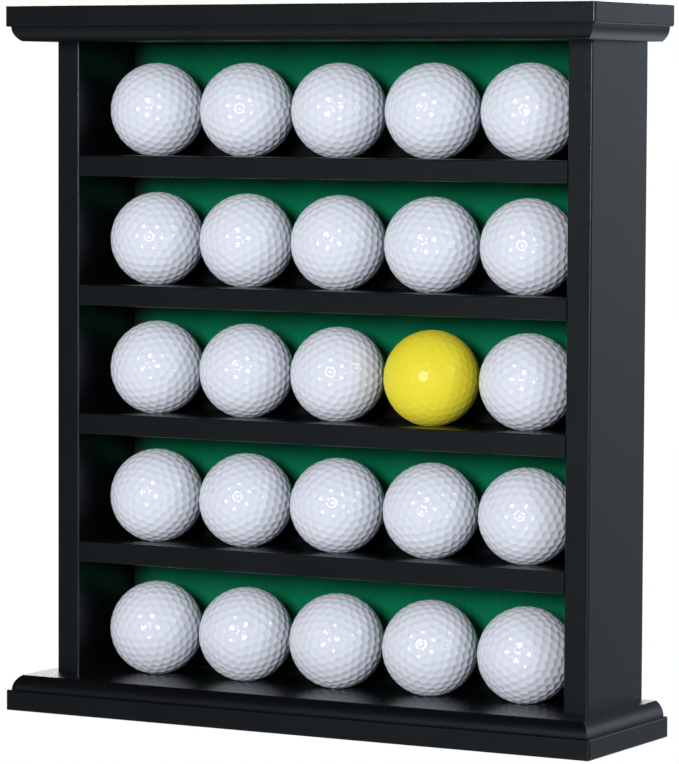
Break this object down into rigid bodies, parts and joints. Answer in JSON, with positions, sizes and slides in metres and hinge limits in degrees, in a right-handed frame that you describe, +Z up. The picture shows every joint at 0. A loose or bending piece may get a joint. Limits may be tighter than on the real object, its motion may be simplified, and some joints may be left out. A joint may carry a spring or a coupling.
{
  "type": "golf ball display case",
  "caption": "Open-fronted wall or table display case with moulded top and base boards, ball shelves and a felt-lined back, filled with golf balls in shallow seats.",
  "frame": {"origin": "middle of the footprint, on the surface that the case stands on", "axes": "+Z up; the open front faces -Y; +X to the right seen from the front"},
  "size_m": [0.294, 0.079, 0.3192],
  "materials": {
    "black_lacquer": "satin black lacquer on close-grained wood",
    "green_felt": "felt with a fine upright rib",
    "hardboard": "brown hardboard, bare, with a screen-marked back",
    "beech_dowel": "plain beech",
    "zinc_plated_steel": "bright zinc plate",
    "white_ball_cover": "clear-coated white cover with dimples",
    "yellow_ball_cover": "clear-coated yellow cover with dimples"
  },
  "bodies": {
    "case": {"base_board": "black_lacquer", "top_board": "black_lacquer", "left_side_panel": "black_lacquer", "right_side_panel": "black_lacquer", "shelf_1": "black_lacquer", "shelf_2": "black_lacquer", "shelf_3": "black_lacquer", "shelf_4": "black_lacquer", "felt_lining": "green_felt", "back_panel": "hardboard", "top_dowels": "beech_dowel", "base_screws": "zinc_plated_steel", "back_pins": "zinc_plated_steel"},
    "ball_r1_c1": {"golf_ball_r1_c1": "white_ball_cover"},
    "ball_r1_c2": {"golf_ball_r1_c2": "white_ball_cover"},
    "ball_r1_c3": {"golf_ball_r1_c3": "white_ball_cover"},
    "ball_r1_c4": {"golf_ball_r1_c4": "white_ball_cover"},
    "ball_r1_c5": {"golf_ball_r1_c5": "white_ball_cover"},
    "ball_r2_c1": {"golf_ball_r2_c1": "white_ball_cover"},
    "ball_r2_c2": {"golf_ball_r2_c2": "white_ball_cover"},
    "ball_r2_c3": {"golf_ball_r2_c3": "white_ball_cover"},
    "ball_r2_c4": {"golf_ball_r2_c4": "white_ball_cover"},
    "ball_r2_c5": {"golf_ball_r2_c5": "white_ball_cover"},
    "ball_r3_c1": {"golf_ball_r3_c1": "white_ball_cover"},
    "ball_r3_c2": {"golf_ball_r3_c2": "white_ball_cover"},
    "ball_r3_c3": {"golf_ball_r3_c3": "white_ball_cover"},
    "ball_r3_c4": {"golf_ball_r3_c4": "yellow_ball_cover"},
    "ball_r3_c5": {"golf_ball_r3_c5": "white_ball_cover"},
    "ball_r4_c1": {"golf_ball_r4_c1": "white_ball_cover"},
    "ball_r4_c2": {"golf_ball_r4_c2": "white_ball_cover"},
    "ball_r4_c3": {"golf_ball_r4_c3": "white_ball_cover"},
    "ball_r4_c4": {"golf_ball_r4_c4": "white_ball_cover"},
    "ball_r4_c5": {"golf_ball_r4_c5": "white_ball_cover"},
    "ball_r5_c1": {"golf_ball_r5_c1": "white_ball_cover"},
    "ball_r5_c2": {"golf_ball_r5_c2": "white_ball_cover"},
    "ball_r5_c3": {"golf_ball_r5_c3": "white_ball_cover"},
    "ball_r5_c4": {"golf_ball_r5_c4": "white_ball_cover"},
    "ball_r5_c5": {"golf_ball_r5_c5": "white_ball_cover"}
  },
  "joints": [
    {"name": "lift_out_r1_c1", "type": "slide", "parent": "case", "child": "ball_r1_c1", "axis": [0, -0.9848, 0.1736], "range_m": [0, 0.08]},
    {"name": "lift_out_r1_c2", "type": "slide", "parent": "case", "child": "ball_r1_c2", "axis": [0, -0.9848, 0.1736], "range_m": [0, 0.08]},
    {"name": "lift_out_r1_c3", "type": "slide", "parent": "case", "child": "ball_r1_c3", "axis": [0, -0.9848, 0.1736], "range_m": [0, 0.08]},
    {"name": "lift_out_r1_c4", "type": "slide", "parent": "case", "child": "ball_r1_c4", "axis": [0, -0.9848, 0.1736], "range_m": [0, 0.08]},
    {"name": "lift_out_r1_c5", "type": "slide", "parent": "case", "child": "ball_r1_c5", "axis": [0, -0.9848, 0.1736], "range_m": [0, 0.08]},
    {"name": "lift_out_r2_c1", "type": "slide", "parent": "case", "child": "ball_r2_c1", "axis": [0, -0.9848, 0.1736], "range_m": [0, 0.08]},
    {"name": "lift_out_r2_c2", "type": "slide", "parent": "case", "child": "ball_r2_c2", "axis": [0, -0.9848, 0.1736], "range_m": [0, 0.08]},
    {"name": "lift_out_r2_c3", "type": "slide", "parent": "case", "child": "ball_r2_c3", "axis": [0, -0.9848, 0.1736], "range_m": [0, 0.08]},
    {"name": "lift_out_r2_c4", "type": "slide", "parent": "case", "child": "ball_r2_c4", "axis": [0, -0.9848, 0.1736], "range_m": [0, 0.08]},
    {"name": "lift_out_r2_c5", "type": "slide", "parent": "case", "child": "ball_r2_c5", "axis": [0, -0.9848, 0.1736], "range_m": [0, 0.08]},
    {"name": "lift_out_r3_c1", "type": "slide", "parent": "case", "child": "ball_r3_c1", "axis": [0, -0.9848, 0.1736], "range_m": [0, 0.08]},
    {"name": "lift_out_r3_c2", "type": "slide", "parent": "case", "child": "ball_r3_c2", "axis": [0, -0.9848, 0.1736], "range_m": [0, 0.08]},
    {"name": "lift_out_r3_c3", "type": "slide", "parent": "case", "child": "ball_r3_c3", "axis": [0, -0.9848, 0.1736], "range_m": [0, 0.08]},
    {"name": "lift_out_r3_c4", "type": "slide", "parent": "case", "child": "ball_r3_c4", "axis": [0, -0.9848, 0.1736], "range_m": [0, 0.08]},
    {"name": "lift_out_r3_c5", "type": "slide", "parent": "case", "child": "ball_r3_c5", "axis": [0, -0.9848, 0.1736], "range_m": [0, 0.08]},
    {"name": "lift_out_r4_c1", "type": "slide", "parent": "case", "child": "ball_r4_c1", "axis": [0, -0.9848, 0.1736], "range_m": [0, 0.08]},
    {"name": "lift_out_r4_c2", "type": "slide", "parent": "case", "child": "ball_r4_c2", "axis": [0, -0.9848, 0.1736], "range_m": [0, 0.08]},
    {"name": "lift_out_r4_c3", "type": "slide", "parent": "case", "child": "ball_r4_c3", "axis": [0, -0.9848, 0.1736], "range_m": [0, 0.08]},
    {"name": "lift_out_r4_c4", "type": "slide", "parent": "case", "child": "ball_r4_c4", "axis": [0, -0.9848, 0.1736], "range_m": [0, 0.08]},
    {"name": "lift_out_r4_c5", "type": "slide", "parent": "case", "child": "ball_r4_c5", "axis": [0, -0.9848, 0.1736], "range_m": [0, 0.08]},
    {"name": "lift_out_r5_c1", "type": "slide", "parent": "case", "child": "ball_r5_c1", "axis": [0, -0.9848, 0.1736], "range_m": [0, 0.08]},
    {"name": "lift_out_r5_c2", "type": "slide", "parent": "case", "child": "ball_r5_c2", "axis": [0, -0.9848, 0.1736], "range_m": [0, 0.08]},
    {"name": "lift_out_r5_c3", "type": "slide", "parent": "case", "child": "ball_r5_c3", "axis": [0, -0.9848, 0.1736], "range_m": [0, 0.08]},
    {"name": "lift_out_r5_c4", "type": "slide", "parent": "case", "child": "ball_r5_c4", "axis": [0, -0.9848, 0.1736], "range_m": [0, 0.08]},
    {"name": "lift_out_r5_c5", "type": "slide", "parent": "case", "child": "ball_r5_c5", "axis": [0, -0.9848, 0.1736], "range_m": [0, 0.08]}
  ]
}
